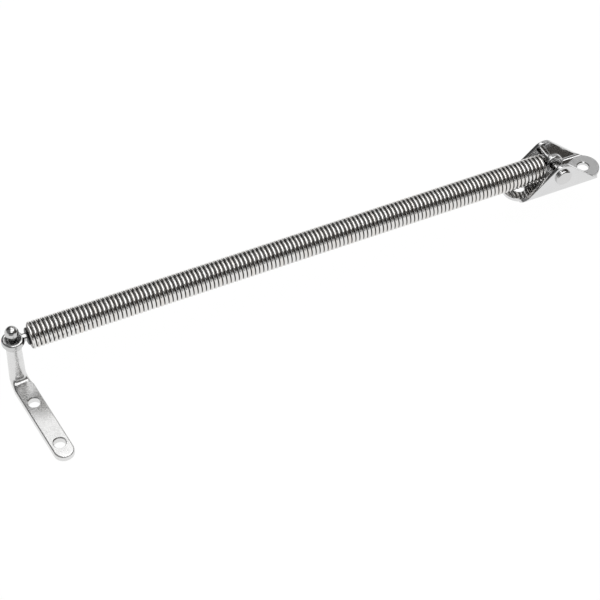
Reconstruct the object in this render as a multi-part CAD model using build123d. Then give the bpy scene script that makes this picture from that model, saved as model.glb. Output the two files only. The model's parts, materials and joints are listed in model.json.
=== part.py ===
from build123d import *
import math
import os

# Skylight stay. Millimetres, +Z up, +X along the spring from the foot to the hatch.
# The foot's strap lies on z = 0, and the origin is midway between its two screw holes.

# Spring: a close coil of round wire, right-handed.
wire_diameter = 1.6
spring_diameter = 10.0
spring_length = 206.1
spring_turns = 99
spring_start = 5.3
path_steps = 24

# Eye: a rounded ring with a plain shank that turns in the plug.
eye_bore = 4.7
eye_wall = 1.75
eye_height = 2.6
eye_round = 0.8
eye_nesting = 0.5
shank_diameter = 3.0
shank_spare = 0.6
shank_tip_chamfer = 0.3

# Plug: the round piece that carries the end coils, and the nut that keeps the eye in it.
plug_proud = 0.25
plug_length = 13.5
plug_chamfer = 0.4
nut_across_flats = 5.0
nut_height = 2.4
nut_chamfer = 0.25

# Stud: a ball on a neck, pressed into the foot's post, over a thin washer.
ball_diameter = 5.0
ball_lift = 4.3
neck_gap = 0.75
stud_shank_diameter = 3.0
stud_shank_length = 7.0
washer_diameter = 6.6
washer_height = 0.8
washer_chamfer = 0.15

# Foot: a rod that is bent square and flattened into a strap.
spring_height = 21.0
strap_angle = 85.5
strap_width = 7.5
strap_thickness = 2.5
strap_edge = 0.6
strap_reach = 41.8
post_diameter = 5.4
post_flare = 0.6
bend_radius = 3.6
bend_steps = 12
forge_length = 2.0
forge_steps = 3
section_flat = 0.02
first_hole_at = 13.8
hole_spacing = 21.0
screw_hole = 4.3
screw_chamfer = 0.35

# Hatch bracket: folded sheet with two ears, and the riveted pin through them.
sheet_thickness = 1.5
bracket_gap = 13.1
fold_radius = 1.0
pin_height = 8.3
ear_crown_radius = 5.1
ear_half_length = 16.9
base_hole_spacing = 28.0
lobe_radius = 6.25
pin_head_diameter = 6.5
pin_head_height = 1.3
pin_tail_diameter = 5.6
pin_tail_height = 0.9
rivet_rounding = 0.6
pin_gap = 0.75

# Clearances: between pieces that turn, between pieces that are pressed, and round the plug.
turning_gap = 0.3
swivel_fit = 0.05
press_fit = 0.02
plug_gap = 0.25

# Sizes that follow from the ones above.
mean_radius = (spring_diameter - wire_diameter) / 2
eye_radius = eye_bore / 2 + eye_wall
plug_diameter = spring_diameter - 2 * wire_diameter - 2 * plug_gap
plug_face = spring_start - plug_proud
nut_face = plug_face + plug_length + turning_gap
shank_end = nut_face + nut_height + shank_spare
neck_diameter = eye_bore - 2 * neck_gap
pin_diameter = eye_bore - 2 * pin_gap
post_top = spring_height - eye_height / 2 - turning_gap - washer_height
spring_end = spring_start + spring_length
pin_at = spring_end + eye_radius - eye_nesting
pattern_at = first_hole_at + hole_spacing / 2
ear_outside = bracket_gap / 2 + sheet_thickness

LOW = (Align.CENTER, Align.CENTER, Align.MIN)

# Directions in plan: along the strap and across it.
turn = math.radians(-strap_angle)
strap_way = Vector(math.cos(turn), math.sin(turn), 0)
cross_way = Vector(-math.sin(turn), math.cos(turn), 0)
stud = strap_way * -pattern_at
lower_pivot = stud + Vector(0, 0, spring_height)
upper_pivot = lower_pivot + Vector(pin_at, 0, 0)


def tangent_arcs(start, start_way, end, end_way):
    """Two arcs that leave start and reach end in the given directions and share a tangent."""
    chord = end - start
    both = start_way + end_way
    fold = 2 * (1 - start_way.dot(end_way))
    reach = chord.dot(both)
    arm = (math.sqrt(reach**2 + fold * chord.dot(chord)) - reach) / fold
    first_knee = start + start_way * arm
    second_knee = end - end_way * arm
    middle = (first_knee + second_knee) / 2
    first = Edge.make_tangent_arc(start, start_way, middle)
    second = Edge.make_tangent_arc(middle, (second_knee - first_knee).normalized(), end)
    return [first, second]


def coil_point(angle, pitch):
    """Point on the wire's centre line after the given angle, and the way the wire runs there."""
    rise = pitch / (2 * math.pi)
    axis_x = spring_start + wire_diameter / 2 + rise * angle
    point = Vector(axis_x, -mean_radius * math.sin(angle), mean_radius * math.cos(angle))
    way = Vector(rise, -mean_radius * math.cos(angle), -mean_radius * math.sin(angle))
    return point + lower_pivot, way.normalized()


def least_gap(pitch):
    """Least distance between the wire's surfaces, measured on points of its centre line."""
    span = 2 * path_steps
    points = [coil_point(math.tau * i / path_steps, pitch)[0] for i in range(4 * span)]
    gaps = []
    for i, point in enumerate(points):
        for other in points[i + path_steps // 2:i + span]:
            gaps.append((other - point).length - wire_diameter)
    return min(gaps)


def main_spring():
    """One unbroken wire: half-turn pairs of arcs, with a straight end as long as it is thick."""
    pitch = (spring_length - wire_diameter) / spring_turns
    start, start_way = coil_point(0, pitch)
    edges = [Edge.make_line(start - start_way * wire_diameter, start)]
    for half in range(2 * spring_turns):
        here = coil_point(math.pi * half, pitch)
        there = coil_point(math.pi * (half + 1), pitch)
        edges += tangent_arcs(*here, *there)
    end, end_way = coil_point(math.tau * spring_turns, pitch)
    edges.append(Edge.make_line(end, end + end_way * wire_diameter))
    path = Wire(edges)
    face = Plane(origin=start - start_way * wire_diameter, z_dir=start_way) * Circle(wire_diameter / 2)
    print(f"spring: {spring_turns} turns, pitch {pitch:.3f}, least gap {least_gap(pitch):.3f} mm")
    return sweep(face, path=path)


def eye():
    """Ring round the Z axis at the origin, with its shank along +X."""
    wall = Plane.XZ * Pos(eye_bore / 2 + eye_wall / 2, 0)
    section = wall * RectangleRounded(eye_wall, eye_height, eye_round)
    ring = revolve(section, Axis.Z)
    shank_root = eye_bore / 2 + eye_wall / 2
    shank = Plane.YZ.offset(shank_root) * Cylinder(
        shank_diameter / 2, shank_end - shank_root, align=LOW)
    tip = shank.faces().sort_by(Axis.X)[-1].edges()
    return ring + chamfer(tip, shank_tip_chamfer)


def plug():
    """Round plug along +X, bored for the eye's shank."""
    body = Plane.YZ.offset(plug_face) * Cylinder(
        plug_diameter / 2, plug_length, align=LOW)
    ends = body.edges().filter_by(GeomType.CIRCLE)
    body = chamfer(ends, plug_chamfer)
    bore = Plane.YZ.offset(plug_face) * Cylinder(
        shank_diameter / 2 + swivel_fit, plug_length, align=LOW)
    return body - bore


def eye_nut():
    """Hexagon nut on the end of the eye's shank."""
    hexagon = RegularPolygon(nut_across_flats / 2, 6, major_radius=False)
    body = extrude(Plane.YZ.offset(nut_face) * hexagon, nut_height)
    corner = nut_across_flats / math.sqrt(3)
    cone = Plane.YZ.offset(nut_face) * Cylinder(
        corner, nut_height, align=LOW)
    body = body & chamfer(cone.edges().filter_by(GeomType.CIRCLE), nut_chamfer)
    bore = Plane.YZ.offset(nut_face) * Cylinder(
        shank_diameter / 2 + press_fit, nut_height, align=LOW)
    return body - bore


def at_foot(shape):
    """Move an end piece from its own ring to the stud."""
    return Pos(*lower_pivot) * shape


def at_hatch(shape):
    """Turn an end piece round to face the spring, with its ring round the pin."""
    return Pos(*upper_pivot) * Rot(90, 0, 0) * Rot(0, 0, 180) * shape


def ball_stud():
    """Ball, neck and pressed shank, turned in one piece."""
    ball = Pos(0, 0, spring_height + ball_lift) * Sphere(ball_diameter / 2)
    neck_height = spring_height + ball_lift - post_top
    neck = Pos(0, 0, post_top) * Cylinder(neck_diameter / 2, neck_height, align=LOW)
    shank = Pos(0, 0, post_top - stud_shank_length) * Cylinder(
        stud_shank_diameter / 2, stud_shank_length, align=LOW)
    return Pos(*stud) * (ball + neck + shank)


def stud_washer():
    """Thin washer on the post, under the eye."""
    disc = Pos(0, 0, post_top) * Cylinder(washer_diameter / 2, washer_height, align=LOW)
    disc = chamfer(disc.edges().filter_by(GeomType.CIRCLE), washer_chamfer)
    bore = Pos(0, 0, post_top) * Cylinder(neck_diameter / 2 + press_fit, washer_height, align=LOW)
    return Pos(*stud) * (disc - bore)


def mix(first, second, share):
    """Value that runs evenly from first to second."""
    return first + (second - first) * share


def rod_section(along, height, tilt, share, thickness):
    """Section across the rod, forged by the given share from the round post to the flat strap.

    A height of zero lays the section on the screw face.
    """
    width = mix(post_diameter + post_flare, strap_width, share)
    edge = min(mix(post_diameter / 2, strap_edge, share), thickness / 2 - section_flat)
    normal = strap_way * math.sin(tilt) - Vector(0, 0, math.cos(tilt))
    centre = strap_way * along + Vector(0, 0, height or thickness / 2)
    return Plane(origin=centre, x_dir=cross_way, z_dir=normal) * RectangleRounded(width, thickness, edge)


def foot_bracket():
    """Round post, square bend and flat strap of one rod, with two screw holes.

    The rod gets thinner in the bend, and reaches its full width a little past it.
    """
    bend_length = bend_radius * math.pi / 2
    bend_share = bend_length / (bend_length + forge_length)
    bend_height = bend_radius + strap_thickness / 2
    strap_start = bend_radius + forge_length
    sections = []
    for step in range(bend_steps):
        tilt = math.pi / 2 * step / bend_steps
        along = bend_radius * (1 - math.cos(tilt))
        height = bend_height - bend_radius * math.sin(tilt)
        thickness = mix(post_diameter, strap_thickness, step / bend_steps)
        sections.append(rod_section(along, height, tilt, bend_share * step / bend_steps, thickness))
    for step in range(forge_steps + 1):
        share = mix(bend_share, 1, step / forge_steps)
        along = mix(bend_radius, strap_start, step / forge_steps)
        sections.append(rod_section(along, 0, math.pi / 2, share, strap_thickness))
    top_plane = Plane(origin=(0, 0, post_top), x_dir=cross_way, z_dir=(0, 0, -1))
    top = top_plane * RectangleRounded(post_diameter, post_diameter, post_diameter / 2 - section_flat)
    tip = rod_section(strap_reach + strap_width, 0, math.pi / 2, 1, strap_thickness)
    rod = loft([top, *sections, tip], ruled=True)
    plan = Plane(origin=(0, 0, 0), x_dir=strap_way, z_dir=(0, 0, 1))
    slot_length = strap_reach + strap_width
    outline = plan * Pos(strap_reach - slot_length / 2, 0) * SlotOverall(slot_length, strap_width)
    body = rod & extrude(outline, post_top)
    for hole_at in (first_hole_at, first_hole_at + hole_spacing):
        body -= plan * Pos(hole_at, 0) * screw_hole_cutter(strap_thickness)
    body -= Pos(0, 0, post_top - stud_shank_length) * Cylinder(
        stud_shank_diameter / 2 + press_fit, stud_shank_length, align=LOW)
    return Pos(*stud) * body


def screw_hole_cutter(thickness):
    """Screw hole through a wall that stands on z = 0, with its upper rim broken."""
    hole = Cylinder(screw_hole / 2, 2 * thickness)
    rim = Cone(screw_hole / 2, screw_hole / 2 + screw_chamfer, screw_chamfer, align=LOW)
    return Pos(0, 0, thickness / 2) * hole + Pos(0, 0, thickness - screw_chamfer) * rim


def hatch_bracket():
    """Folded channel with two ears and a base with a screw hole in each round end.

    An ear's sides rise from the ends of its base and touch its round crown.
    """
    lift = sheet_thickness + fold_radius
    ear_top = pin_height + ear_crown_radius
    outside = Rectangle(2 * ear_outside, 2 * ear_top, align=(Align.CENTER, Align.MIN))
    inside = Pos(0, sheet_thickness) * Rectangle(bracket_gap, 2 * ear_top, align=(Align.CENTER, Align.MIN))
    outside = fillet(outside.vertices().group_by(Axis.Y)[0], lift)
    inside = fillet(inside.vertices().group_by(Axis.Y)[0], fold_radius)
    channel = extrude(Plane.YZ * (outside - inside), ear_half_length + sheet_thickness, both=True)
    foot_to_pin = math.hypot(ear_half_length, pin_height)
    slope = math.atan2(pin_height, ear_half_length) + math.asin(ear_crown_radius / foot_to_pin)
    tangent_x = ear_crown_radius * math.sin(slope)
    tangent_z = pin_height + ear_crown_radius * math.cos(slope)
    sides = make_face([
        Edge.make_line((-ear_half_length, 0), (ear_half_length, 0)),
        Edge.make_line((ear_half_length, 0), (tangent_x, tangent_z)),
        Edge.make_three_point_arc((tangent_x, tangent_z), (0, ear_top), (-tangent_x, tangent_z)),
        Edge.make_line((-tangent_x, tangent_z), (-ear_half_length, 0)),
    ])
    ears = channel & extrude(Plane.XZ * sides, 2 * ear_outside, both=True)
    base = extrude(SlotCenterToCenter(base_hole_spacing, 2 * lobe_radius), sheet_thickness)
    body = ears + base
    for side in (-1, 1):
        body -= Pos(side * base_hole_spacing / 2, 0) * screw_hole_cutter(sheet_thickness)
    body -= Pos(0, 0, pin_height) * Rot(90, 0, 0) * Cylinder(pin_diameter / 2 + press_fit, 4 * ear_outside)
    return Pos(*upper_pivot) * Pos(0, 0, -pin_height) * body


def domed_disc(diameter, height):
    """Disc along +Z from z = 0, with its far edge rounded."""
    disc = Cylinder(diameter / 2, height, align=LOW)
    return fillet(disc.faces().sort_by(Axis.Z)[-1].edges(), rivet_rounding * height)


def pivot_pin():
    """Rivet through both ears: a head on the front ear and a smaller closed tail on the back one."""
    body = Rot(90, 0, 0) * Cylinder(pin_diameter / 2, 2 * ear_outside)
    head = Pos(0, -ear_outside, 0) * Rot(90, 0, 0) * domed_disc(pin_head_diameter, pin_head_height)
    tail = Pos(0, ear_outside, 0) * Rot(-90, 0, 0) * domed_disc(pin_tail_diameter, pin_tail_height)
    return Pos(*upper_pivot) * (body + head + tail)


pieces = {
    "foot_bracket": foot_bracket(),
    "ball_stud": ball_stud(),
    "stud_washer": stud_washer(),
    "lower_eye": at_foot(eye()),
    "lower_eye_nut": at_foot(eye_nut()),
    "lower_plug": at_foot(plug()),
    "main_spring": main_spring(),
    "upper_plug": at_hatch(plug()),
    "upper_eye_nut": at_hatch(eye_nut()),
    "upper_eye": at_hatch(eye()),
    "hatch_bracket": hatch_bracket(),
    "pivot_pin": pivot_pin(),
}

os.makedirs("parts", exist_ok=True)
for name, shape in pieces.items():
    export_step(shape, f"parts/{name}.step")
    print(name, "volume", round(shape.volume, 2))
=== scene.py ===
# %% [markdown]
# # A skylight stay in stainless steel
#
# The stay is a close-coiled spring with a ring at each end. One ring turns on a ball-headed stud that
# stands on a bent foot, and the other on a rivet between the ears of a folded bracket. The CAD frame
# gives the places, the joints and the mounts. Here each visible piece becomes a smooth surface worked out
# from a formula, because bright metal shows every facet of a coarse mesh in its reflections.

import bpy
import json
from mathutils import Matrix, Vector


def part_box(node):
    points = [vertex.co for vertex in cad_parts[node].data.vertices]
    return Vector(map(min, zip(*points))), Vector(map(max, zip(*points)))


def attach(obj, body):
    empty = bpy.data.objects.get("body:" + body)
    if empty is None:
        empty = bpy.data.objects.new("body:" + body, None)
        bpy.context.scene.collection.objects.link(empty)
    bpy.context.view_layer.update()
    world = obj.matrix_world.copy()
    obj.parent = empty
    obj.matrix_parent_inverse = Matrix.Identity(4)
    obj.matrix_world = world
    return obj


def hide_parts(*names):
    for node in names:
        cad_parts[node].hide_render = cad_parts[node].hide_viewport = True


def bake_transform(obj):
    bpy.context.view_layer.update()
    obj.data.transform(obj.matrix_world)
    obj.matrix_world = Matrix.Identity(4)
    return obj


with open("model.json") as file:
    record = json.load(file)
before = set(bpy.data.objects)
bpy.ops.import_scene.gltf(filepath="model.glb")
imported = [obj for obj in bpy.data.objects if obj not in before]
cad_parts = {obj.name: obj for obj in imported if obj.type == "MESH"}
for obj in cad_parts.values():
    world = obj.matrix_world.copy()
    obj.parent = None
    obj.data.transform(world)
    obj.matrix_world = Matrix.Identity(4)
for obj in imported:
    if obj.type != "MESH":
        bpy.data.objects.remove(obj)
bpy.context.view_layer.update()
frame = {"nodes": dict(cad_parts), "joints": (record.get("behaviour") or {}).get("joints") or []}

import json
import math

import bmesh
import bpy
import numpy as np
from mathutils import Matrix, Vector

# %% [markdown]
# ## Places and directions
#
# Nothing is placed by eye. The stud and the rivet are where two joints turn, and the foot's strap runs
# from the stud through the origin, which is midway between its screw holes. Lengths are written in
# millimetres times `MM`.

# %% Read places from the frame
MM = 0.001
joint_at = {joint["name"]: Vector(joint["pos_m"]) for joint in frame["joints"]}
stud = joint_at["stud_turn"]
rivet = joint_at["hatch_pivot"]
strap_way = Vector((-stud.x, -stud.y, 0)).normalized()
cross_way = Vector((-strap_way.y, strap_way.x, 0))
for name in ("stud_turn", "hatch_pivot"):
    print(name, "turns at", [round(value / MM, 2) for value in joint_at[name]], "mm")

# %% [markdown]
# ## From arrays to meshes
#
# Every piece below is one or more grids of points. Neighbouring points become quads, points that meet are
# merged, and the faces are turned outwards once the shell is closed. Smooth shading stops at edges
# sharper than a set angle, and a Weighted Normal modifier lets the large flat faces keep their flat
# reflections.

# %% Mesh helpers
MERGE_DISTANCE = 0.0005 * MM
SHARP_ANGLE = math.radians(38)


def grid_faces(rows, columns, closed):
    """Quads between neighbours in a grid of points; closed joins the last column to the first."""
    row = np.arange(rows - 1)[:, None] * columns
    column = np.arange(columns if closed else columns - 1)[None, :]
    beside = (column + 1) % columns
    corners = [row + column, row + beside, row + columns + beside, row + columns + column]
    return np.stack(corners, axis=-1).reshape(-1, 4)


def surface(name, grids, places=None):
    """A closed mesh object from grids, each an array of rows by columns by 3 whose columns go round."""
    points = np.concatenate([grid.reshape(-1, 3) for grid in grids])
    faces, first = [], 0
    for grid in grids:
        faces.append(grid_faces(*grid.shape[:2], closed=True) + first)
        first += grid.shape[0] * grid.shape[1]
    mesh = bpy.data.meshes.new(name)
    mesh.from_pydata(points.tolist(), [], np.concatenate(faces).tolist())
    if places is not None:
        attribute = mesh.attributes.new("place", "FLOAT_VECTOR", "POINT")
        attribute.data.foreach_set("vector", places.reshape(-1).astype(np.float32))
    shell = bmesh.new()
    shell.from_mesh(mesh)
    bmesh.ops.remove_doubles(shell, verts=shell.verts, dist=MERGE_DISTANCE)
    bmesh.ops.recalc_face_normals(shell, faces=shell.faces)
    shell.to_mesh(mesh)
    shell.free()
    mesh.shade_smooth()
    mesh.set_sharp_from_angle(angle=SHARP_ANGLE)
    piece = bpy.data.objects.new(name, mesh)
    bpy.context.scene.collection.objects.link(piece)
    return piece


def apply_modifiers(piece):
    """Bakes a piece's modifiers into its mesh."""
    evaluated = piece.evaluated_get(bpy.context.evaluated_depsgraph_get())
    mesh = bpy.data.meshes.new_from_object(evaluated)
    piece.modifiers.clear()
    piece.data = mesh
    mesh.shade_smooth()
    mesh.set_sharp_from_angle(angle=SHARP_ANGLE)


def combine(piece, others, operation):
    """Cuts other closed meshes out of a piece, or joins them to it, and removes them."""
    for other in others:
        boolean = piece.modifiers.new(other.name, "BOOLEAN")
        boolean.object = other
        boolean.operation = operation
        boolean.solver = "EXACT"
    apply_modifiers(piece)
    for other in others:
        bpy.data.objects.remove(other)


def dress(piece, body, finish, replaced):
    """Gives a piece its finish and its body, and hides the CAD node that it stands for."""
    weighted = piece.modifiers.new("flat_faces", "WEIGHTED_NORMAL")
    weighted.keep_sharp = True
    piece.data.materials.clear()
    piece.data.materials.append(finish)
    if body:
        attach(piece, body)
    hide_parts(replaced)
    triangles = sum(len(face.vertices) - 2 for face in piece.data.polygons)
    print(f"{piece.name}: {triangles} triangles")


print("mesh helpers ready")

# %% [markdown]
# ## Rounded profiles
#
# Turned parts and stamped outlines have small radii at every corner, and those radii are what catches the
# light. A profile is therefore written as its sharp corners with a radius for each, and one function puts
# the arcs in.

# %% Round the corners of an outline
ARC_STEPS = 8
LATHE_STEPS = 96


def round_corners(corners, radii, steps=ARC_STEPS):
    """An open line through the corners, each inner one replaced by an arc tangent to both its sides.

    The arc's centre lies on the corner's bisector, at radius / sin(half angle) from the corner, and its
    points turn evenly from one tangent point to the other.
    """
    corners = np.array(corners, float)
    line = [corners[:1]]
    for before, corner, after, radius in zip(corners, corners[1:], corners[2:], radii):
        back = (before - corner) / np.linalg.norm(before - corner)
        ahead = (after - corner) / np.linalg.norm(after - corner)
        half = math.acos(np.clip(back @ ahead, -1, 1)) / 2
        bisector = (back + ahead) / np.linalg.norm(back + ahead)
        centre = corner + bisector * radius / math.sin(half)
        reach = radius / math.tan(half)
        start, end = corner + back * reach - centre, corner + ahead * reach - centre
        swing = math.pi - 2 * half
        share = np.linspace(0, 1, steps + 1)[:, None]
        arc = (np.sin((1 - share) * swing) * start + np.sin(share * swing) * end) / math.sin(swing)
        line.append(centre + arc)
    line.append(corners[-1:])
    return np.concatenate(line)


def lathe(profile, centre, axis, out, steps=LATHE_STEPS):
    """Turns a profile of (radius, height) points round an axis.

    Each point goes to centre + axis * height + radius * (out * cos + side * sin) of an angle that goes
    right round.
    """
    axis, out = np.array(axis, float), np.array(out, float)
    side = np.cross(axis, out)
    angle = np.linspace(0, math.tau, steps, endpoint=False)
    spoke = np.cos(angle)[:, None] * out + np.sin(angle)[:, None] * side
    radius, height = profile[:, 0, None, None], profile[:, 1, None, None]
    return np.array(centre, float) + axis * height + radius * spoke


print("a square corner rounded in", len(round_corners([(0, 0), (1, 0), (1, 1)], [0.2])), "points")

# %% [markdown]
# ## Shader maths as expressions
#
# A node tree is easier to read as arithmetic. `Value` wraps a socket, so that `1 - mask * 0.3` adds its
# Math nodes by itself, and `Finish.add` makes any other node from its type, its settings and what goes
# into its sockets.

# %% Shader helpers
def grey(level):
    """A neutral colour."""
    return (level, level, level, 1)


class Value:
    """A socket of a finish's node tree. Arithmetic on it adds Math nodes."""

    def __init__(self, finish, socket):
        self.finish = finish
        self.socket = socket

    def __add__(self, other):
        return self.finish.math("ADD", self, other)

    def __mul__(self, other):
        return self.finish.math("MULTIPLY", self, other)

    def __sub__(self, other):
        return self.finish.math("SUBTRACT", self, other)

    def __rsub__(self, other):
        return self.finish.math("SUBTRACT", other, self)

    __radd__ = __add__
    __rmul__ = __mul__


class Finish:
    """A material and the nodes that it is made of."""

    def __init__(self, name):
        self.material = bpy.data.materials.new(name)
        self.material.use_nodes = True
        self.tree = self.material.node_tree
        self.shader = self.tree.nodes["Principled BSDF"]

    def set_socket(self, socket, value):
        """Links a Value to a socket, or sets the socket to a number or a colour."""
        if isinstance(value, Value):
            self.tree.links.new(value.socket, socket)
        else:
            socket.default_value = value

    def add(self, kind, settings, sockets, output=0):
        """A new node: its settings, a ramp's stops among them, and then its sockets by name or number."""
        node = self.tree.nodes.new(kind)
        for name, setting in settings.items():
            if name == "stops":
                ramp = node.color_ramp.elements
                for element, (position, level) in zip((ramp[0], ramp[1]), setting):
                    element.position = position
                    element.color = grey(level)
            else:
                setattr(node, name, setting)
        for name, value in sockets.items():
            self.set_socket(node.inputs[name], value)
        return Value(self, node.outputs[output])

    def math(self, operation, first, second):
        """A Math node on two numbers or sockets."""
        return self.add("ShaderNodeMath", {"operation": operation}, {0: first, 1: second})

    def mix(self, share, first, second):
        """A colour between two others; sockets 6 and 7 and output 2 are the Mix node's colours."""
        return self.add("ShaderNodeMix", {"data_type": "RGBA"}, {0: share, 6: first, 7: second}, output=2)

    def noise(self, place, stretch, detail=3.0, turn=0.0):
        """Noise from 0 to 1 whose grain is as fine, along X, Y and Z, as stretch says."""
        sockets = {"Vector": place, "Rotation": (0, 0, turn), "Scale": stretch}
        aligned = self.add("ShaderNodeMapping", {}, sockets)
        return self.add("ShaderNodeTexNoise", {}, {"Vector": aligned, "Scale": 1.0, "Detail": detail})

    def ramp(self, value, low, high):
        """Value spread so that low becomes 0 and high becomes 1."""
        return self.add("ShaderNodeValToRGB", {"stops": [(low, 0), (high, 1)]}, {"Fac": value})

    def finish(self, **sockets):
        """Sets the shader's sockets by their names, with an underscore for each space."""
        for name, value in sockets.items():
            self.set_socket(self.shader.inputs[name.replace("_", " ")], value)
        return self.material


print("shader helpers ready")

# %% [markdown]
# ## The spring's wire
#
# Bright stainless wire is drawn through dies, which leaves faint lines along it, and winding leaves a faint
# brown haze. Painted shade takes the wire near black in the grooves where turns touch, and gives the coil
# its dark lines. The pattern follows the wire, so it reads an attribute of the mesh, with the way along the
# wire in X and the place round its section in Y and Z: Z is near 1 or -1 where turns touch.

# %% Finish of drawn wire
# Painted shade: the section's Z where the darkening of the grooves begins, and where it is full.
PAINTED_SHADE_BEGINS = 0.62
PAINTED_SHADE_ENDS = 0.90


def drawn_wire():
    """Bright wire with draw lines, a faint warm haze, and painted shade in the grooves between turns."""
    finish = Finish("drawn_wire")
    place = finish.add("ShaderNodeAttribute", {"attribute_name": "place"}, {}, output="Vector")
    round_section = finish.add("ShaderNodeSeparateXYZ", {}, {0: place}, output="Z")
    flank = finish.math("ABSOLUTE", round_section, 0.0)
    # Painted shade that darkens the wire where a turn touches the next.
    painted_groove_shade = finish.ramp(flank, PAINTED_SHADE_BEGINS, PAINTED_SHADE_ENDS)
    lines = finish.noise(place, (60.0, 5.0, 5.0), detail=4.0)
    haze = finish.ramp(finish.noise(place, (90.0, 0.6, 0.6), detail=2.0), 0.42, 0.78)
    bright = finish.mix(haze * 0.5, (0.76, 0.755, 0.745, 1), (0.66, 0.60, 0.54, 1))
    # Painted shade takes the wire's colour to near black in the grooves.
    colour = finish.mix(painted_groove_shade, bright, (0.035, 0.025, 0.018, 1))
    bump = finish.add("ShaderNodeBump", {}, {"Strength": 0.12, "Distance": 0.02 * MM, "Height": lines})
    return finish.finish(Base_Color=colour, Metallic=1.0, Roughness=0.05 + lines * 0.09, Normal=bump)


wire_finish = drawn_wire()
print("finish:", wire_finish.name)

# %% [markdown]
# ## The spring
#
# The real spring is wound tight: each turn lies on the next, so its pitch is the wire's own diameter. The
# wire is one tube along a helix. It is made in two halves that meet in the middle, because the stay bends
# about two joints, and a mesh can bend across one joint only.

# %% Wind the spring
wire_radius = 0.8 * MM
wire_slack = 0.004 * MM
steps_a_turn = 72
sides_of_wire = 16
end_round = 0.12 * MM
shrink_rows = 4
spring_low, spring_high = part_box("main_spring")
coil_radius = (spring_high.z - spring_low.z) / 2 - wire_radius
wound_length = spring_high.x - spring_low.x - 2 * wire_radius
turns = round(wound_length / (2 * wire_radius))
pitch = wound_length / turns
spring_begin = spring_low.x + wire_radius


def coil(first_turn, last_turn):
    """The wire from one turn to another, as a grid of sections round a helix.

    The centre goes round at the coil's radius and advances by a pitch a turn. A section is a circle
    across the helix's tangent, and the sections at both ends shrink along a quarter round and then close
    to a point.
    """
    count = int(round((last_turn - first_turn) * steps_a_turn)) + 1
    angle = np.linspace(first_turn, last_turn, count) * math.tau
    rise = pitch / math.tau
    curl = np.linspace(0, math.pi / 2, shrink_rows)
    length_a_turn = math.hypot(pitch, math.tau * coil_radius)
    shrink = np.ones(count)
    lead = np.concatenate([[0], 1 - end_round / wire_radius * (1 - np.sin(curl))])
    shrink[:len(lead)] = lead
    shrink[-len(lead):] = lead[::-1]
    slide = np.concatenate([[0], end_round * (1 - np.cos(curl))]) / length_a_turn * math.tau
    angle[:len(slide)] = angle[0] + slide
    angle[-len(slide):] = angle[-1] - slide[::-1]
    zero = np.zeros(count)
    helix = (spring_begin + rise * angle, -coil_radius * np.sin(angle), coil_radius * np.cos(angle))
    centre = np.stack(helix, -1)
    outward = np.stack([zero, -np.sin(angle), np.cos(angle)], -1)
    tangent = np.stack([zero + rise, -coil_radius * np.cos(angle), -coil_radius * np.sin(angle)], -1)
    tangent /= np.linalg.norm(tangent, axis=-1, keepdims=True)
    side = np.cross(tangent, outward)
    turn = np.linspace(0, math.tau, sides_of_wire, endpoint=False)
    section = np.cos(turn)[None, :, None] * outward[:, None] + np.sin(turn)[None, :, None] * side[:, None]
    points = centre[:, None] + (wire_radius - wire_slack) * shrink[:, None, None] * section
    points += np.array([0, stud.y, stud.z])
    along = np.broadcast_to((angle / math.tau * length_a_turn)[:, None], points.shape[:2])
    place_y, place_z = (np.broadcast_to(wave, along.shape) for wave in (np.cos(turn), np.sin(turn)))
    return points, np.stack([along, place_y, place_z], -1)


middle_turn = turns // 2
plug_zone = 1.0 * MM
for name, span, bodies, joint in (
    ("spring_lower_half", (0, middle_turn), ("lower_plug", "spring"), "lower_bend"),
    ("spring_upper_half", (middle_turn, turns), ("spring", "upper_plug"), "upper_bend"),
):
    points, places = coil(*span)
    half = surface(name, [points], places)
    dress(half, None, wire_finish, "main_spring")
    plug_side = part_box("lower_eye")[1].x if joint == "lower_bend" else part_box("upper_eye")[0].x
    reach = abs(joint_at[joint].x - plug_side) - plug_zone
    start, end = joint_at[joint].copy(), joint_at[joint].copy()
    start.x -= reach
    end.x += reach
    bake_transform(half)
print(f"spring: {turns} turns at a pitch of {pitch / MM:.3f} mm")

# %% [markdown]
# ## Steel finishes
#
# The other pieces are steel too, but each was made in its own way. The foot and the eyes were forged and
# tumbled, so they have a fine soft grain. The bracket is rolled sheet with straight grain. The stud, the
# washer, the rivet and the near-black plugs were turned, which leaves rings round their axis.

# %% Finishes of the solid pieces
def tumbled_steel(name, shade, roughness, turn):
    """Forged and tumbled steel: soft mottling, fine pits and faint lines along the piece."""
    finish = Finish(name)
    place = finish.add("ShaderNodeTexCoord", {}, {}, output="Object")
    cloud = finish.noise(place, (350.0, 350.0, 350.0), detail=2.0)
    grain = finish.noise(place, (5200.0, 5200.0, 5200.0), detail=2.0)
    lines = finish.noise(place, (300.0, 7000.0, 3000.0), detail=3.0, turn=turn)
    pits = finish.ramp(finish.noise(place, (2600.0, 2600.0, 2600.0), detail=1.0), 0.68, 0.80)
    lighter = (shade, shade, shade * 0.995, 1)
    darker = (shade * 0.86, shade * 0.855, shade * 0.85, 1)
    colour = finish.mix(cloud * 0.6 + pits * 0.4, lighter, darker)
    height = grain * 0.5 + lines * 0.5 - pits * 0.6
    bump = finish.add("ShaderNodeBump", {}, {"Strength": 0.16, "Distance": 0.02 * MM, "Height": height})
    rough = roughness + cloud * 0.08 + lines * 0.06
    return finish.finish(Base_Color=colour, Metallic=1.0, Roughness=rough, Normal=bump)


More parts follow.
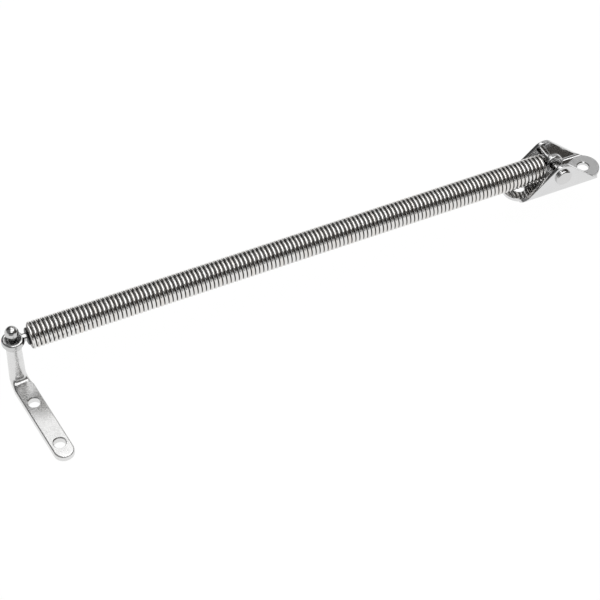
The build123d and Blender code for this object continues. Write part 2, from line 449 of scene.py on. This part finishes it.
def rolled_steel(name, shade, roughness):
    """Bright rolled sheet with straight grain along X and a few fine scratches."""
    finish = Finish(name)
    place = finish.add("ShaderNodeTexCoord", {}, {}, output="Object")
    grain = finish.noise(place, (90.0, 6000.0, 6000.0), detail=3.0)
    cloud = finish.noise(place, (260.0, 260.0, 260.0), detail=2.0)
    scratch = finish.ramp(finish.noise(place, (500.0, 9000.0, 9000.0), detail=1.0), 0.70, 0.78)
    colour = finish.mix(cloud * 0.7, grey(shade), (shade * 0.9, shade * 0.9, shade * 0.905, 1))
    height = grain - scratch
    bump = finish.add("ShaderNodeBump", {}, {"Strength": 0.10, "Distance": 0.015 * MM, "Height": height})
    rough = roughness + grain * 0.08 + scratch * 0.1
    return finish.finish(Base_Color=colour, Metallic=1.0, Roughness=rough, Normal=bump)


def turned_steel(name, shade, roughness, stretch):
    """Turned steel: fine rings across the axis, along which stretch is large."""
    finish = Finish(name)
    place = finish.add("ShaderNodeTexCoord", {}, {}, output="Object")
    rings = finish.noise(place, stretch, detail=3.0)
    cloud = finish.noise(place, (700.0, 700.0, 700.0), detail=2.0)
    colour = finish.mix(cloud * 0.6, grey(shade), (shade * 0.88, shade * 0.87, shade * 0.86, 1))
    bump = finish.add("ShaderNodeBump", {}, {"Strength": 0.10, "Distance": 0.01 * MM, "Height": rings})
    return finish.finish(Base_Color=colour, Metallic=1.0, Roughness=roughness + rings * 0.07, Normal=bump)


strap_turn = math.atan2(strap_way.y, strap_way.x)
foot_finish = tumbled_steel("tumbled_foot", 0.76, 0.20, -strap_turn)
eye_finish = tumbled_steel("tumbled_eye", 0.62, 0.10, 0.0)
sheet_finish = rolled_steel("rolled_sheet", 0.72, 0.09)
stud_finish = turned_steel("turned_stud", 0.60, 0.04, (60.0, 60.0, 9000.0))
rivet_finish = turned_steel("turned_rivet", 0.66, 0.08, (60.0, 9000.0, 60.0))
# The plugs and the eye nuts are made near black.
plug_finish = turned_steel("black_plug", 0.02, 0.35, (9000.0, 60.0, 60.0))
print("finishes:", len(bpy.data.materials))

# %% [markdown]
# ## Stud, washer and rivet
#
# These were turned on a lathe, and a profile that goes round an axis is exactly how a lathe makes them.
# The ball begins where its arc meets the neck, and the rivet's head is domed at its rim.

# %% Turn the stud, the washer and the rivet
UP = (0, 0, 1)
neck_radius = 1.6 * MM
ball_steps = 40
small_break = 0.05 * MM
edge_break = 0.1 * MM
washer_rounding = 0.2 * MM
stud_low, stud_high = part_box("ball_stud")
washer_low, washer_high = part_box("stud_washer")
ball_radius = (stud_high.x - stud_low.x) / 2
ball_at = stud_high.z - ball_radius
post_top = washer_low.z
stud_foot = (stud.x, stud.y, 0)


def ball_profile():
    """Half outline of the ball stud: flat end, straight neck, and the ball's arc from neck to top."""
    meet = math.asin(neck_radius / ball_radius)
    angle = np.linspace(math.pi - meet, 0, ball_steps)
    ball = np.stack([ball_radius * np.sin(angle), ball_at + ball_radius * np.cos(angle)], -1)
    return np.concatenate([[(0, post_top), (neck_radius, post_top)], ball])


def washer_profile():
    """Half section of the washer round its bore, with its rims broken."""
    outer = (washer_high.x - washer_low.x) / 2
    low, high = washer_low.z, washer_high.z
    middle = (low + high) / 2
    corners = [
        (outer, middle), (outer, high), (neck_radius, high),
        (neck_radius, low), (outer, low), (outer, middle),
    ]
    return round_corners(corners, [washer_rounding, small_break, small_break, washer_rounding])


stud_piece = surface("ball_stud_turned", [lathe(ball_profile(), stud_foot, UP, (1, 0, 0))])
dress(stud_piece, "foot", stud_finish, "ball_stud")
washer_piece = surface("stud_washer_turned", [lathe(washer_profile(), stud_foot, UP, (1, 0, 0))])
dress(washer_piece, "foot", stud_finish, "stud_washer")

rivet_low, rivet_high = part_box("pivot_pin")
ear_low, ear_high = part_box("hatch_bracket")
head_radius = (rivet_high.z - rivet_low.z) / 2
tail_radius = 2.8 * MM
rivet_radius = 1.6 * MM
head_rounding = 0.75 * MM
tail_rounding = 0.5 * MM


def rivet_profile():
    """Half outline of the rivet, from the middle of its head to the middle of its tail along +Y."""
    head, tail = rivet_low.y - rivet.y, rivet_high.y - rivet.y
    front, back = ear_low.y - rivet.y, ear_high.y - rivet.y
    corners = [
        (0, head), (head_radius, head), (head_radius, front), (rivet_radius, front),
        (rivet_radius, back), (tail_radius, back), (tail_radius, tail), (0, tail),
    ]
    radii = [head_rounding, edge_break, small_break, small_break, edge_break, tail_rounding]
    return round_corners(corners, radii)


rivet_piece = surface("pivot_rivet_turned", [lathe(rivet_profile(), rivet, (0, 1, 0), (1, 0, 0))])
dress(rivet_piece, "hatch", rivet_finish, "pivot_pin")

# %% [markdown]
# ## Eyes and plugs
#
# An eye is a rounded ring with a shank that turns in a plug, and the plug carries the spring's last
# turns. The ring is a rounded section turned round its own axis, and the shank is a second closed surface
# joined to it.

# %% Turn the eyes and the plugs
eye_bore_radius = 2.35 * MM
eye_height = 2.6 * MM
shank_radius = 1.5 * MM
shank_rounding = 0.3 * MM
eye_rounding = 0.8 * MM
plug_rounding = 0.4 * MM
plug_bore_radius = 1.55 * MM
ring_steps = 128
shank_steps = 64


def eye_piece(node, centre, axis, away):
    """A ring round the given axis, with a shank in the direction away from its centre."""
    low, high = (np.array(corner) - np.array(centre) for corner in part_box(node))
    ring_radius, reach = sorted((abs(low @ away), abs(high @ away)))
    half_height = eye_height / 2
    corners = [
        (ring_radius, 0), (ring_radius, half_height), (eye_bore_radius, half_height),
        (eye_bore_radius, -half_height), (ring_radius, -half_height), (ring_radius, 0),
    ]
    ring_profile = round_corners(corners, [eye_rounding] * 4)
    ring = surface(f"{node}_forged", [lathe(ring_profile, centre, axis, away, ring_steps)])
    root = (ring_radius + eye_bore_radius) / 2
    shank_corners = [(0, root), (shank_radius, root), (shank_radius, reach), (0, reach)]
    shank_profile = round_corners(shank_corners, [small_break, shank_rounding])
    shank = surface(f"{node}_shank", [lathe(shank_profile, centre, away, axis, shank_steps)])
    combine(ring, [shank], "UNION")
    return ring


def plug_piece(node, centre, away):
    """A round plug bored for the eye's shank."""
    low, high = (np.array(corner) - np.array(centre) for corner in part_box(node))
    near, far = sorted((abs(low @ away), abs(high @ away)))
    radius = (high - low)[1] / 2
    middle = (near + far) / 2
    corners = [
        (radius, middle), (radius, far), (plug_bore_radius, far),
        (plug_bore_radius, near), (radius, near), (radius, middle),
    ]
    radii = [plug_rounding, edge_break, edge_break, plug_rounding]
    return surface(f"{node}_turned", [lathe(round_corners(corners, radii), centre, away, (0, 0, 1))])


for end, centre, axis, away in (
    ("lower", stud, np.array([0.0, 0, 1]), np.array([1.0, 0, 0])),
    ("upper", rivet, np.array([0.0, 1, 0]), np.array([-1.0, 0, 0])),
):
    dress(eye_piece(f"{end}_eye", centre, axis, away), f"{end}_eye", eye_finish, f"{end}_eye")
    dress(plug_piece(f"{end}_plug", centre, away), f"{end}_plug", plug_finish, f"{end}_plug")
    nut = frame["nodes"][f"{end}_eye_nut"]
    nut.data.materials.clear()
    nut.data.materials.append(plug_finish)

# %% [markdown]
# ## The foot
#
# The foot starts as a round rod. It is bent square and forged flat into a strap. One section follows the
# rod, and its width, its thickness and the radius of its corners change on the way. The strap's round end
# is the two halves of the last section, each turned a quarter round about the end's centre until they
# meet.

# %% Forge the foot
post_diameter = 5.4 * MM
post_flare = 0.6 * MM
strap_width = 7.5 * MM
strap_thickness = 2.5 * MM
strap_edge = 0.6 * MM
strap_reach = 41.8 * MM
bend_radius = 3.6 * MM
forge_length = 2.0 * MM
top_rounding = 0.25 * MM
screw_hole_radius = 2.15 * MM
hole_spacing = 21.0 * MM
section_flat = 0.02 * MM
corner_steps = 10
flat_steps = 4
lip_rows = 6
post_rows = 14
bend_rows = 41
forge_rows = 25
strap_rows = 20
end_rows = 17


def section(width, thickness, edge):
    """Closed rounded rectangles, one a row, as (across, upwards) points that go round from the right side.

    Each corner is a quarter circle about its centre, and a flat is divided evenly between two corners.
    """
    quarter = np.linspace(0, math.pi / 2, corner_steps + 1)
    across, upwards = [], []
    for number, (right, top) in enumerate(((1, 1), (-1, 1), (-1, -1), (1, -1))):
        angle = quarter + number * math.pi / 2
        across.append(right * (width / 2 - edge)[:, None] + edge[:, None] * np.cos(angle))
        upwards.append(top * (thickness / 2 - edge)[:, None] + edge[:, None] * np.sin(angle))
    rings = []
    for values in (across, upwards):
        ring = []
        for now, following in zip(values, values[1:] + values[:1]):
            share = np.linspace(0, 1, flat_steps + 1)[1:-1]
            ring += [now, now[:, -1:] + (following[:, :1] - now[:, -1:]) * share]
        rings.append(np.concatenate(ring, axis=1))
    return rings


def mix(first, second, share):
    """Value that runs evenly from first to second."""
    return first + (second - first) * share


def foot_surface():
    """The rod as rows of sections, from the post's top to the strap's tip.

    A row's centre goes down the post, round a quarter circle and along the strap. Its normal in the bend
    turns with it, and along the strap the underside stays on the screw face. The rod gets thinner in the
    bend, and reaches its full width a little past it.
    """
    bend_length = bend_radius * math.pi / 2
    bend_share = bend_length / (bend_length + forge_length)
    bend_height = bend_radius + strap_thickness / 2
    end_centre = strap_reach - strap_width / 2
    round_over = np.linspace(0, math.pi / 2, lip_rows)
    lip = top_rounding * (1 - np.sin(round_over))
    post_z = np.concatenate([[post_top], post_top - top_rounding * (1 - np.cos(round_over)),
                             np.linspace(post_top - top_rounding, bend_height, post_rows)[1:]])
    inset = np.concatenate([[post_diameter / 2 - section_flat], lip, np.zeros(post_rows - 1)])
    post = np.zeros_like(post_z)
    flare = np.linspace(0, 1, post_rows)[1:]
    post_width = np.concatenate([np.full(lip_rows + 1, post_diameter), post_diameter + post_flare * flare])
    tilt = np.linspace(0, math.pi / 2, bend_rows)[1:]
    bend_along = bend_radius * (1 - np.cos(tilt))
    bend_z = bend_height - bend_radius * np.sin(tilt)
    share_bend = bend_share * tilt / (math.pi / 2)
    forge = np.linspace(0, 1, forge_rows)[1:]
    share_forge = mix(bend_share, 1, forge)
    strap = np.linspace(bend_radius + forge_length, end_centre, strap_rows)[1:]
    swing = np.linspace(0, math.pi / 2, end_rows)[1:]

    share = np.concatenate([post, share_bend, share_forge, np.ones(len(strap) + len(swing))])
    thickness = np.concatenate([np.full(len(post), post_diameter),
                                mix(post_diameter, strap_thickness, tilt / (math.pi / 2)),
                                np.full(len(forge) + len(strap) + len(swing), strap_thickness)])
    width = mix(post_diameter + post_flare, strap_width, share)
    width[:len(post_width)] = post_width
    shrink = np.zeros_like(share)
    shrink[:len(inset)] = inset
    width, thickness_now = width - 2 * shrink, thickness - 2 * shrink
    edge = np.minimum(mix(post_diameter / 2, strap_edge, share), thickness_now / 2 - section_flat)
    edge = np.minimum(edge, width / 2 - section_flat)
    end = np.full(len(swing), end_centre)
    along = np.concatenate([post, bend_along, bend_radius + forge_length * forge, strap, end])
    lean = np.concatenate([post, tilt, np.full(len(forge) + len(strap) + len(swing), math.pi / 2)])
    height = np.concatenate([post_z, bend_z, thickness[len(post_z) + len(tilt):] / 2])
    turned = np.concatenate([np.zeros(len(share) - len(swing)), swing])

    across, upwards = section(width, thickness_now, edge)
    forward = along[:, None] + upwards * np.cos(lean)[:, None] + np.abs(across) * np.sin(turned)[:, None]
    sideways = across * np.cos(turned)[:, None]
    vertical = np.maximum(height[:, None] + upwards * np.sin(lean)[:, None], 0)
    flat = forward[..., None] * np.array(strap_way) + sideways[..., None] * np.array(cross_way)
    return np.array([stud.x, stud.y, 0]) + flat + vertical[..., None] * np.array(UP)


def screw_cutter(name, place, thickness):
    """A closed cutter for a screw hole: straight, with a rounded flare at each face of the metal."""
    far = 2 * MM
    lip_top, lip_bottom = 0.35 * MM, 0.12 * MM
    radius = screw_hole_radius
    corners = [
        (0, -far), (radius + lip_bottom + far, -far), (radius, lip_bottom), (radius, thickness - lip_top),
        (radius + lip_top + far, thickness + far), (0, thickness + far),
    ]
    radii = [small_break, 0.15 * MM, 0.2 * MM, small_break]
    return surface(name, [lathe(round_corners(corners, radii), place, UP, (1, 0, 0))])


foot_piece = surface("foot_bracket_forged", [foot_surface()])
hole_places = [Vector(strap_way) * side * hole_spacing / 2 for side in (-1, 1)]
cutters = []
for number, place in enumerate(hole_places):
    cutters.append(screw_cutter(f"foot_cutter_{number}", place, strap_thickness))
combine(foot_piece, cutters, "DIFFERENCE")
dress(foot_piece, "foot", foot_finish, "foot_bracket")

# %% [markdown]
# ## The hatch bracket
#
# The bracket is stamped from sheet and folded into a channel. It is built in the same order. The flat
# blank is a grid in which a row runs across the blank from edge to edge, and its rim is a rounded
# profile. Then every point is folded up by a formula, so that the bends are true arcs and the sheet keeps
# its thickness.

# %% Stamp and fold the bracket
sheet = 1.5 * MM
fold_radius = 1.0 * MM
half_gap = (ear_high.y - ear_low.y) / 2 - sheet
base_flat = half_gap - fold_radius
neutral_radius = fold_radius + sheet / 2
fold_length = neutral_radius * math.pi / 2
rivet_height = rivet.z - ear_low.z
crown_radius = ear_high.z - rivet.z
ear_half_length = 16.9 * MM
foot_to_rivet = math.hypot(ear_half_length, rivet_height)
ear_slope = math.atan2(rivet_height, ear_half_length) + math.asin(crown_radius / foot_to_rivet)
lobe_radius = 6.25 * MM
lobe_centre = 14.0 * MM
rim_rounding = 0.22 * MM
lobe_rows = 26
fold_rows = 12
crown_rows = 28
rim_points = 6
row_spacing = 0.35 * MM


def blank_edge():
    """Right-hand edge of the flat blank, from the middle of its base to the crown of an ear.

    The lobe is an arc about the screw hole, up to where the fold begins. In the fold the outer face rises
    by the outer radius times 1 - cos of the angle folded, and the edge draws in by that rise over the
    slope's tangent. The straight slope follows, and then the crown, an arc about the rivet's hole.
    """
    ear_start = base_flat + fold_length
    outer_radius = sheet + fold_radius
    rivet_way = ear_start + rivet_height - outer_radius
    angle = np.linspace(0, math.asin(base_flat / lobe_radius), lobe_rows)
    lobe = np.stack([lobe_centre + lobe_radius * np.cos(angle), lobe_radius * np.sin(angle)], -1)
    folded = np.linspace(0, math.pi / 2, fold_rows)[1:]
    rise = outer_radius * (1 - np.cos(folded))
    foot = np.stack([ear_half_length - rise / math.tan(ear_slope), base_flat + neutral_radius * folded], -1)
    angle = np.linspace(math.pi / 2 - ear_slope, math.pi / 2, crown_rows)
    crown = np.stack([crown_radius * np.cos(angle), rivet_way + crown_radius * np.sin(angle)], -1)
    return np.concatenate([lobe, foot, crown])


def add_rows(edge, spacing):
    """The same edge with points added so that no step is longer than spacing."""
    parts = [edge[:1]]
    for here, there in zip(edge, edge[1:]):
        count = max(1, math.ceil(np.linalg.norm(there - here) / spacing))
        parts.append(here + (there - here) * np.linspace(0, 1, count + 1)[1:, None])
    return np.concatenate(parts)


def fold(across, way, depth):
    """Folds points of the flat blank: across is X, way is from the base's middle, depth is from inside.

    Up to the base's edge the sheet stays flat. In the fold a point goes round the fold's centre at the
    fold radius plus its depth. Past the fold it stands up.
    """
    distance, side = np.abs(way), np.sign(way)
    angle = np.clip((distance - base_flat) / neutral_radius, 0, math.pi / 2)
    beyond = np.maximum(distance - base_flat - fold_length, 0)
    radius = fold_radius + depth
    y = side * (np.minimum(distance, base_flat) + radius * np.sin(angle))
    z = sheet + fold_radius - radius * np.cos(angle) + beyond
    return np.stack([across, y, z], -1)


def bracket_surface():
    """The folded sheet as one grid: a row is the blank's rim on the right, then its rim on the left."""
    quarter = add_rows(blank_edge(), row_spacing)
    edge = np.concatenate([quarter[:0:-1] * (1, -1), quarter])
    step = np.gradient(edge, axis=0)
    outward = np.stack([step[:, 1], -step[:, 0]], -1)
    outward[0], outward[-1] = (0, -1), (0, 1)
    outward /= np.linalg.norm(outward, axis=-1, keepdims=True)
    angle = np.linspace(0, math.pi / 2, rim_points)
    first = np.stack([1 - np.sin(angle), 1 - np.cos(angle)], -1) * rim_rounding
    rim = np.concatenate([first, first[::-1] * (1, -1) + (0, sheet)])
    x = edge[:, 0, None] - outward[:, 0, None] * rim[:, 0]
    way = edge[:, 1, None] - outward[:, 1, None] * rim[:, 0]
    x[0], x[-1] = 0, 0
    depth = np.broadcast_to(rim[:, 1], x.shape)
    right, left = fold(x, way, depth), fold(-x, way, depth)
    base = np.array([rivet.x, rivet.y, ear_low.z])
    return np.concatenate([right, left[:, ::-1]], axis=1) + base


bracket_piece = surface("hatch_bracket_folded", [bracket_surface()])
base_middle = Vector((rivet.x, rivet.y, ear_low.z))
cutters = []
for side in (-1, 1):
    hole_place = base_middle + Vector((side * lobe_centre, 0, 0))
    cutters.append(screw_cutter(f"base_cutter_{side + 1}", hole_place, sheet))
ear_reach = 2 * half_gap
hole_corners = [(0, -ear_reach), (rivet_radius, -ear_reach), (rivet_radius, ear_reach), (0, ear_reach)]
cutters.append(surface("rivet_cutter", [lathe(np.array(hole_corners), rivet, (0, 1, 0), (1, 0, 0))]))
combine(bracket_piece, cutters, "DIFFERENCE")
dress(bracket_piece, "hatch", sheet_finish, "hatch_bracket")

# %% [markdown]
# ## Camera
#
# The camera was fitted to the photograph with the spring, the screw holes and the bracket's corners. It
# looks down steeply, and the spring recedes to the right. The stud sits at a known pixel and depth, which
# fixes the rest.

# %% Place the camera
PICTURE_SIDE = 600
SENSOR = 36.0
NEAR_CLIP = 0.01
focal_pixels = 2115.75
stud_pixel = (12.75, 341.10)
stud_depth = 734.77 * MM
elevation = math.radians(46.38)
spring_turn = math.radians(24.97)
ground_way = Vector((math.sin(spring_turn), math.cos(spring_turn), 0))
right_way = Vector((math.cos(spring_turn), -math.sin(spring_turn), 0))
look_way = ground_way * math.cos(elevation) - Vector(UP) * math.sin(elevation)
up_way = ground_way * math.sin(elevation) + Vector(UP) * math.cos(elevation)
half_picture = PICTURE_SIDE / 2
offset_right = (stud_pixel[0] - half_picture) / focal_pixels * stud_depth
offset_up = (half_picture - stud_pixel[1]) / focal_pixels * stud_depth
eye_point = stud - right_way * offset_right - up_way * offset_up - look_way * stud_depth
camera_data = bpy.data.cameras.new("camera")
camera_data.lens = SENSOR * focal_pixels / PICTURE_SIDE
camera_data.sensor_width = SENSOR
camera_data.clip_start = NEAR_CLIP
camera = bpy.data.objects.new("camera", camera_data)
axes = Matrix((right_way, up_way, -look_way)).transposed()
camera.matrix_world = Matrix.Translation(eye_point) @ axes.to_4x4()
bpy.context.scene.collection.objects.link(camera)
bpy.context.scene.camera = camera
print("camera at", [round(value, 3) for value in eye_point], "lens", round(camera_data.lens, 1))

# %% [markdown]
# ## Floor, screens and light
#
# Bright metal is drawn by what it reflects, so its studio is built as a photographer would build it. The
# room is white low down and darker overhead, so that a turn of the coil shows the lamps as a narrow
# bright stroke. Two black screens stand in front of the stay, one above the other, and give the dark band
# along the coil. The other screens stand at its sides and behind it, where the bracket, the ball and the
# post reflect them. Three soft lamps hang overhead, and a fourth further back shines in the foot's strap.
# The floor shows as white to the camera and in reflections, and still keeps a trace of the object's
# shadow.

# %% Make the floor and the screens
floor_height = -0.02 * MM
floor_half = 3.0
floor_glow = 0.95
floor_white = 1.03
floor_paint = 0.9
scene_middle = (stud + rivet) / 2


def flat_panel(name, centre, wide, tall, facing):
    """A rectangle with its centre, its size and the way that it faces; tall is measured upwards."""
    mesh = bpy.data.meshes.new(name)
    x, y = wide / 2, tall / 2
    mesh.from_pydata([(-x, -y, 0), (x, -y, 0), (x, y, 0), (-x, y, 0)], [], [(0, 1, 2, 3)])
    panel = bpy.data.objects.new(name, mesh)
    turn = Vector(facing).to_track_quat("Z", "Y").to_matrix().to_4x4()
    panel.matrix_world = Matrix.Translation(centre) @ turn
    bpy.context.scene.collection.objects.link(panel)
    return panel


def floor_finish():
    """White floor: light of its own for the camera, mirrors and glass, and plain white paint for the rest.

    The floor's own light is a little over 1, which makes up for the small share of paint that the camera
    sees.
    """
    finish = Finish("white_floor")
    kinds = ("Is Camera Ray", "Is Glossy Ray", "Is Transmission Ray")
    rays = [finish.add("ShaderNodeLightPath", {}, {}, output=kind) for kind in kinds]
    seen = finish.math("MINIMUM", rays[0] + rays[1] + rays[2], 1.0)
    paint = finish.add("ShaderNodeBsdfDiffuse", {}, {"Color": grey(floor_paint)})
    glow = finish.add("ShaderNodeEmission", {}, {"Color": grey(1), "Strength": floor_white})
    both = finish.add("ShaderNodeMixShader", {}, {0: seen * floor_glow, 1: paint, 2: glow})
    output = finish.tree.nodes["Material Output"]
    finish.set_socket(output.inputs["Surface"], both)
    return finish.material


def screen_finish(name, shade):
    """Dull cloth of one shade."""
    return Finish(name).finish(Base_Color=shade, Roughness=0.95, Specular_IOR_Level=0.0)


def screen(name, to_right, beyond, bottom, wide, tall, shade, facing=None):
    """An upright screen of dull cloth, placed from the stay's middle as the camera sees it, in metres.

    It faces the given way, or else the middle.
    """
    offset = right_way * to_right + ground_way * beyond
    centre = floor_middle + offset + Vector(UP) * (bottom + tall / 2)
    panel = flat_panel(name, centre, wide, tall, -offset if facing is None else facing)
    panel.data.materials.append(screen_finish(f"{name}_cloth", shade))
    panel.visible_camera = False
    return panel


floor_middle = Vector((scene_middle.x, scene_middle.y, 0))
floor_place = floor_middle + Vector(UP) * floor_height
floor = flat_panel("floor", floor_place, 2 * floor_half, 2 * floor_half, UP)
floor.data.materials.append(floor_finish())
screens = [
    screen("front_screen_0", -0.10, -0.62, 0.00, 0.84, 0.13, grey(0.01), ground_way),
    screen("front_screen_1", -0.10, -0.62, 0.23, 0.84, 0.20, grey(0.01), ground_way),
    screen("side_flag", 0.42, -0.35, 0.25, 0.50, 0.50, (0.12, 0.11, 0.10, 1)),
    screen("far_screen", 0.15, 0.62, 0.10, 0.80, 0.60, grey(0.70), -ground_way),
    screen("far_flag", 0.28, 0.58, 0.66, 0.64, 0.20, grey(0.02), -ground_way),
    screen("right_screen", 0.50, 0.02, 0.00, 0.50, 0.42, (0.13, 0.12, 0.11, 1)),
    screen("far_left_screen", -0.52, 0.47, 0.03, 0.74, 1.17, grey(0.12)),
]
print("stage:", floor.name, "and", len(screens), "screens")

# %% Light the stage
wall_top = 0.12
ceiling_edge = 0.36
wall_light = 0.90
ceiling_light = 0.22
lamp_height = 0.8


def white_room():
    """A world that is white low down and darker overhead.

    Its strength is the wall's up to the wall's top and the ceiling's from the ceiling's edge on, and runs
    evenly between them. Both heights are sines of the angle above the horizon.
    """
    room = bpy.data.worlds.new("white_room")
    room.use_nodes = True
    nodes, links = room.node_tree.nodes, room.node_tree.links
    direction = nodes.new("ShaderNodeTexCoord")
    split = nodes.new("ShaderNodeSeparateXYZ")
    strength = nodes.new("ShaderNodeMapRange")
    ends = {"From Min": wall_top, "From Max": ceiling_edge, "To Min": wall_light, "To Max": ceiling_light}
    for socket, value in ends.items():
        strength.inputs[socket].default_value = value
    links.new(direction.outputs["Generated"], split.inputs[0])
    links.new(split.outputs["Z"], strength.inputs["Value"])
    links.new(strength.outputs[0], nodes["Background"].inputs["Strength"])
    nodes["Background"].inputs["Color"].default_value = grey(1)
    return room


def soft_lamp(name, to_right, beyond, wide, deep, power):
    """A rectangular lamp that hangs level over the stay and shines down."""
    data = bpy.data.lights.new(name, "AREA")
    data.shape = "RECTANGLE"
    data.size = wide
    data.size_y = deep
    data.energy = power
    lamp = bpy.data.objects.new(name, data)
    centre = scene_middle + right_way * to_right + ground_way * beyond + Vector(UP) * lamp_height
    turn = Matrix((right_way, ground_way, UP)).transposed().to_4x4()
    lamp.matrix_world = Matrix.Translation(centre) @ turn
    lamp.visible_camera = False
    bpy.context.scene.collection.objects.link(lamp)


bpy.context.scene.world = white_room()
for number, beyond in enumerate((-0.55, -0.09, 0.37)):
    soft_lamp(f"ceiling_lamp_{number}", 0.19, beyond, 0.80, 0.34, 1.7)
soft_lamp("far_lamp", -0.28, 0.80, 0.60, 0.70, 1.7)
bpy.context.scene.view_settings.view_transform = "Standard"
print("lamps:", len(bpy.data.lights))
